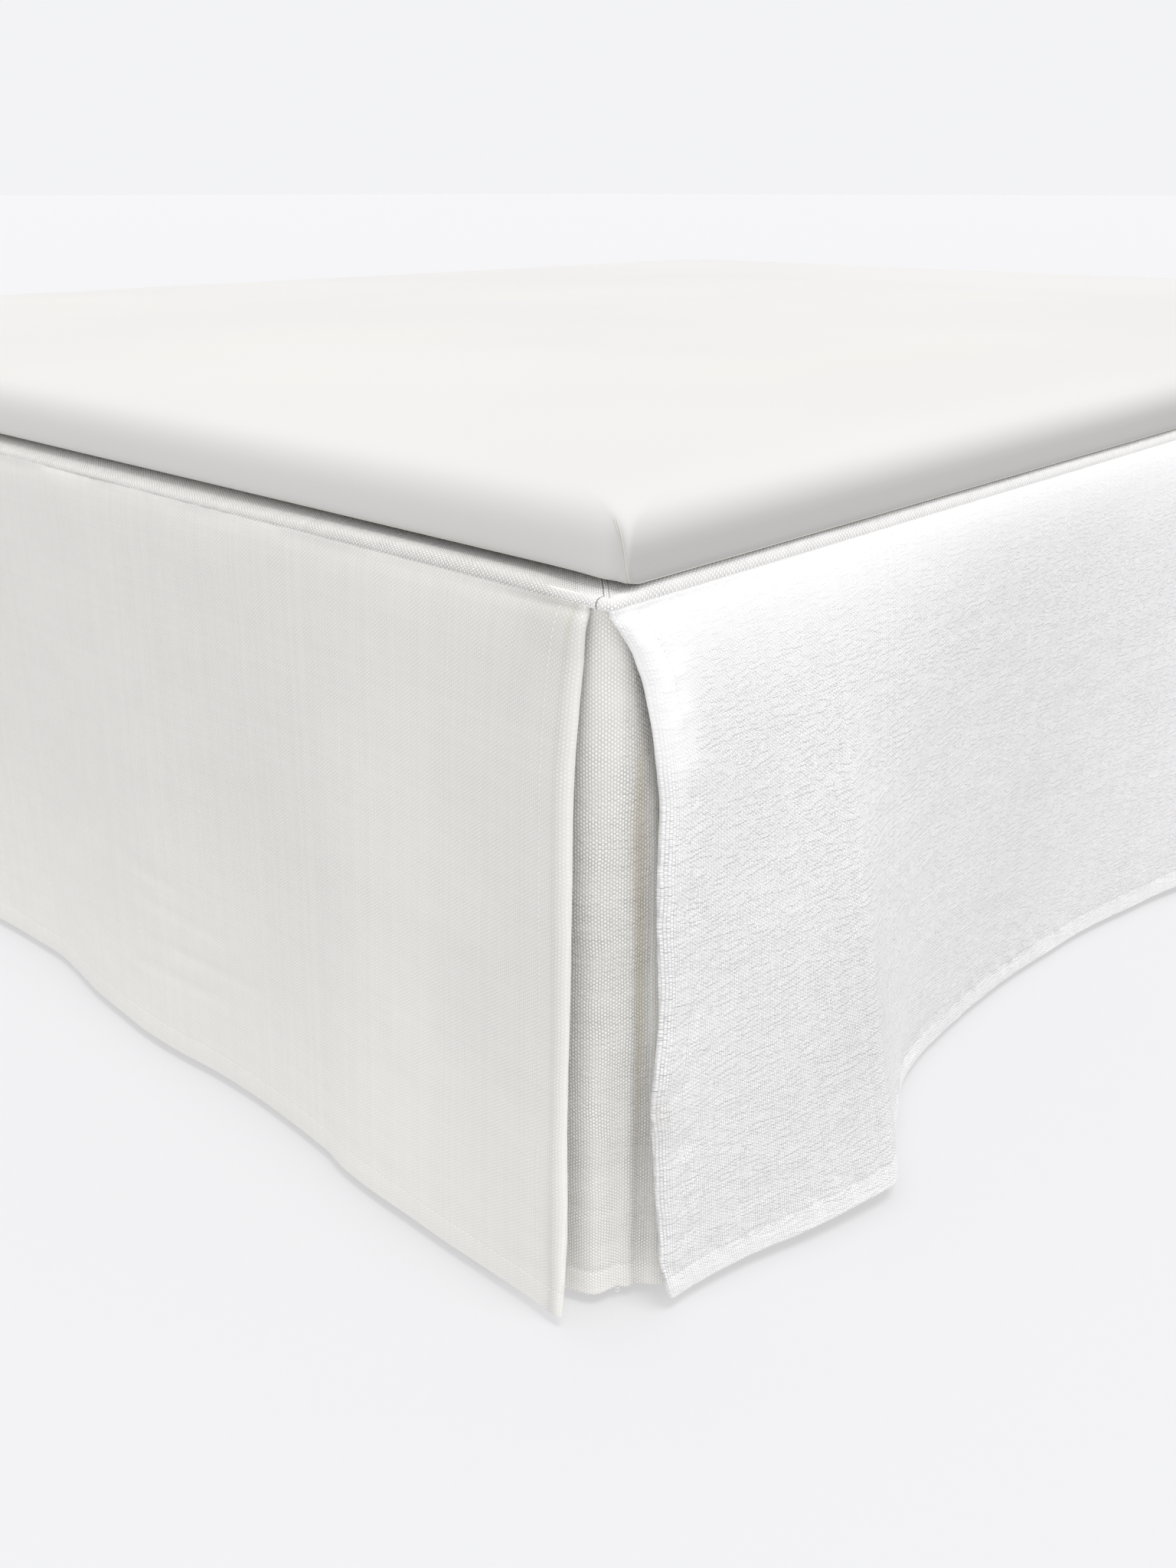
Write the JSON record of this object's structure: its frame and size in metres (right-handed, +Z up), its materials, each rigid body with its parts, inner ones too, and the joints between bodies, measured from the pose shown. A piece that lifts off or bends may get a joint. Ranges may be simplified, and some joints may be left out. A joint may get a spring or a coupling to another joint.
{
  "type": "tailored bed skirt on a bed",
  "caption": "Off-white woven bed skirt with split foot corners and inserts behind them, hanging from its deck between a plain bed base and a thin mattress.",
  "frame": {"origin": "on the floor, under the middle of the skirt's footprint; the bed's middle lies 20 mm towards the head", "axes": "+Z up; +Y along the bed towards the head end, which has no drop; the foot drop faces -Y; +X towards the bed's right side seen from its foot"},
  "size_m": [1.7305, 2.042, 0.5053],
  "materials": {
    "skirt_cloth": "matt slubby plain weave, washed",
    "deck_cloth": "matt plain weave",
    "mattress_sheet": "smooth fitted sheet with a soft sheen",
    "base_cover": "plain matt cover",
    "leg_wood": "satin"
  },
  "bodies": {
    "root": {"deck": "deck_cloth", "foot_panel": "skirt_cloth", "side_panel_right": "skirt_cloth", "side_panel_left": "skirt_cloth", "corner_insert_right": "skirt_cloth", "corner_insert_left": "skirt_cloth", "mattress": "mattress_sheet", "bed_base": "base_cover", "bed_leg_1": "leg_wood", "bed_leg_2": "leg_wood", "bed_leg_3": "leg_wood", "bed_leg_4": "leg_wood", "bed_leg_5": "leg_wood", "bed_leg_6": "leg_wood"}
  },
  "joints": []
}
